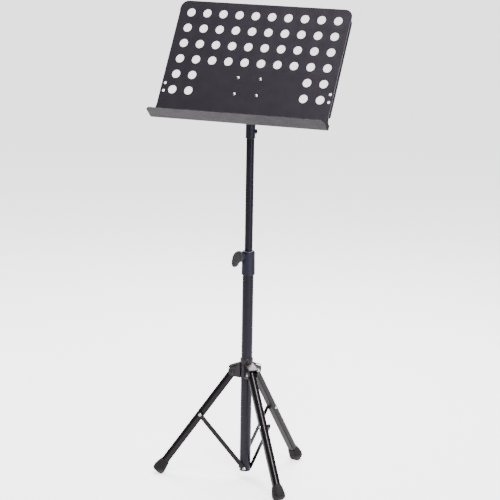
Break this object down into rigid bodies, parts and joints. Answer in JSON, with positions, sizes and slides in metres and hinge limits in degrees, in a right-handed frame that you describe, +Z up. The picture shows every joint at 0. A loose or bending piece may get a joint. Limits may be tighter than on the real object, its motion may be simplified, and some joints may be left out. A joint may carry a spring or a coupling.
{
  "type": "music stand",
  "caption": "Folding tripod music stand with a perforated, tilting sheet-metal desk and ledge on a telescopic mast held by a clamp collar.",
  "frame": {"origin": "on the floor, at the middle of the stand's footprint box; the mast's axis is 33 mm in front of it", "axes": "+Z up along the mast, -Y the way the desk faces, +X to the desk's right as seen from behind the camera"},
  "size_m": [0.502, 0.4197, 1.2609],
  "materials": {
    "desk_steel": "satin powder coat",
    "tube_black": "semi-gloss powder coat",
    "leg_black": "semi-gloss powder coat",
    "hub_metal": "satin painted casting",
    "black_plastic": "fine moulded texture",
    "knob_plastic": "fine moulded texture",
    "black_steel": "blackened",
    "zinc_steel": "zinc plated",
    "brass": "turned",
    "nylon": "natural",
    "rubber": "dull"
  },
  "bodies": {
    "mast_base": {"lower_tube": "tube_black", "tube_end_plug": "black_plastic", "brace_foot_rivets": "zinc_steel", "tube_liner": "nylon", "clamp_collar": "black_plastic", "collar_fixing_screw": "black_steel", "clamp_insert": "brass"},
    "clamp_pad": {"clamp_pad": "brass"},
    "clamp_lever": {"clamp_screw": "zinc_steel", "clamp_knob": "knob_plastic"},
    "guide_bush": {"guide_bush": "nylon"},
    "upper_mast": {"upper_tube": "tube_black", "upper_tube_plug": "black_plastic", "retaining_ring": "zinc_steel", "tilt_socket": "black_plastic", "socket_screw": "black_steel", "socket_washer": "black_steel"},
    "desk": {"desk_panel": "desk_steel", "desk_bracket": "desk_steel", "desk_rivets": "zinc_steel", "tilt_bolt": "zinc_steel", "tilt_spring_washer": "zinc_steel", "tilt_lock_nut": "zinc_steel", "friction_washers": "nylon"},
    "hub": {"hub_spider": "hub_metal", "hub_liner": "nylon", "hub_screw": "black_steel", "hub_pivot_bolts": "zinc_steel", "hub_pivot_nuts": "black_steel"},
    "brace_1": {"brace_1": "leg_black"},
    "leg_1": {"leg_1": "leg_black", "foot_cap_1": "rubber", "leg_rivet_1": "zinc_steel", "brace_spacer_1": "black_steel"},
    "brace_2": {"brace_2": "leg_black"},
    "leg_2": {"leg_2": "leg_black", "foot_cap_2": "rubber", "leg_rivet_2": "zinc_steel", "brace_spacer_2": "black_steel"},
    "brace_3": {"brace_3": "leg_black"},
    "leg_3": {"leg_3": "leg_black", "foot_cap_3": "rubber", "leg_rivet_3": "zinc_steel", "brace_spacer_3": "black_steel"}
  },
  "joints": [
    {"name": "mast_height", "type": "slide", "parent": "mast_base", "child": "guide_bush", "axis": [0, 0, 1], "range_m": [-0.295, 0.18]},
    {"name": "mast_swivel", "type": "hinge", "parent": "guide_bush", "child": "upper_mast", "pos_m": [0, -0.033, 0.6], "axis": [0, 0, 1], "continuous": true},
    {"name": "desk_tilt", "type": "hinge", "parent": "upper_mast", "child": "desk", "pos_m": [0, -0.033, 1.042], "axis": [-1, 0, 0], "range_deg": [-30, 55]},
    {"name": "clamp_turn", "type": "hinge", "parent": "clamp_pad", "child": "clamp_lever", "pos_m": [-0.01096, -0.05547, 0.6065], "axis": [-0.4384, -0.8988, 0], "range_deg": [0, 720]},
    {"name": "clamp_feed", "type": "slide", "parent": "mast_base", "child": "clamp_pad", "axis": [-0.4384, -0.8988, 0], "range_m": [0, 0.0026]},
    {"name": "tripod_fold", "type": "hinge", "parent": "mast_base", "child": "brace_1", "pos_m": [0.00452, -0.04825, 0.0282], "axis": [-0.284, 0.9588, 0], "range_deg": [0, 26]},
    {"name": "leg_1_turn", "type": "hinge", "parent": "brace_1", "child": "leg_1", "pos_m": [-0.11643, -0.06749, 0.17141], "axis": [-0.284, 0.9588, 0], "range_deg": [-57.75, 0]},
    {"name": "brace_2_fold", "type": "hinge", "parent": "mast_base", "child": "brace_2", "pos_m": [0.01094, -0.02147, 0.0282], "axis": [-0.6884, -0.7254, 0], "range_deg": [0, 26]},
    {"name": "leg_2_turn", "type": "hinge", "parent": "brace_2", "child": "leg_2", "pos_m": [0.08808, -0.11659, 0.17141], "axis": [-0.6884, -0.7254, 0], "range_deg": [-57.75, 0]},
    {"name": "brace_3_fold", "type": "hinge", "parent": "mast_base", "child": "brace_3", "pos_m": [-0.01546, -0.02929, 0.0282], "axis": [0.9724, -0.2334, 0], "range_deg": [0, 26]},
    {"name": "leg_3_turn", "type": "hinge", "parent": "brace_3", "child": "leg_3", "pos_m": [0.02835, 0.08507, 0.17141], "axis": [0.9724, -0.2334, 0], "range_deg": [-57.75, 0]},
    {"name": "hub_level", "type": "hinge", "parent": "leg_1", "child": "hub", "pos_m": [-0.03472, -0.04329, 0.2918], "axis": [-0.284, 0.9588, 0], "range_deg": [0, 31.75]}
  ],
  "couplings": [
    {"joint": "clamp_feed", "follows": "clamp_turn", "m_per_rad": 0.00019894},
    {"joint": "leg_1_turn", "follows": "tripod_fold", "ratio": -2.2019},
    {"joint": "brace_2_fold", "follows": "tripod_fold", "ratio": 1},
    {"joint": "leg_2_turn", "follows": "tripod_fold", "ratio": -2.2019},
    {"joint": "brace_3_fold", "follows": "tripod_fold", "ratio": 1},
    {"joint": "leg_3_turn", "follows": "tripod_fold", "ratio": -2.2019},
    {"joint": "hub_level", "follows": "tripod_fold", "ratio": 1.2019}
  ]
}
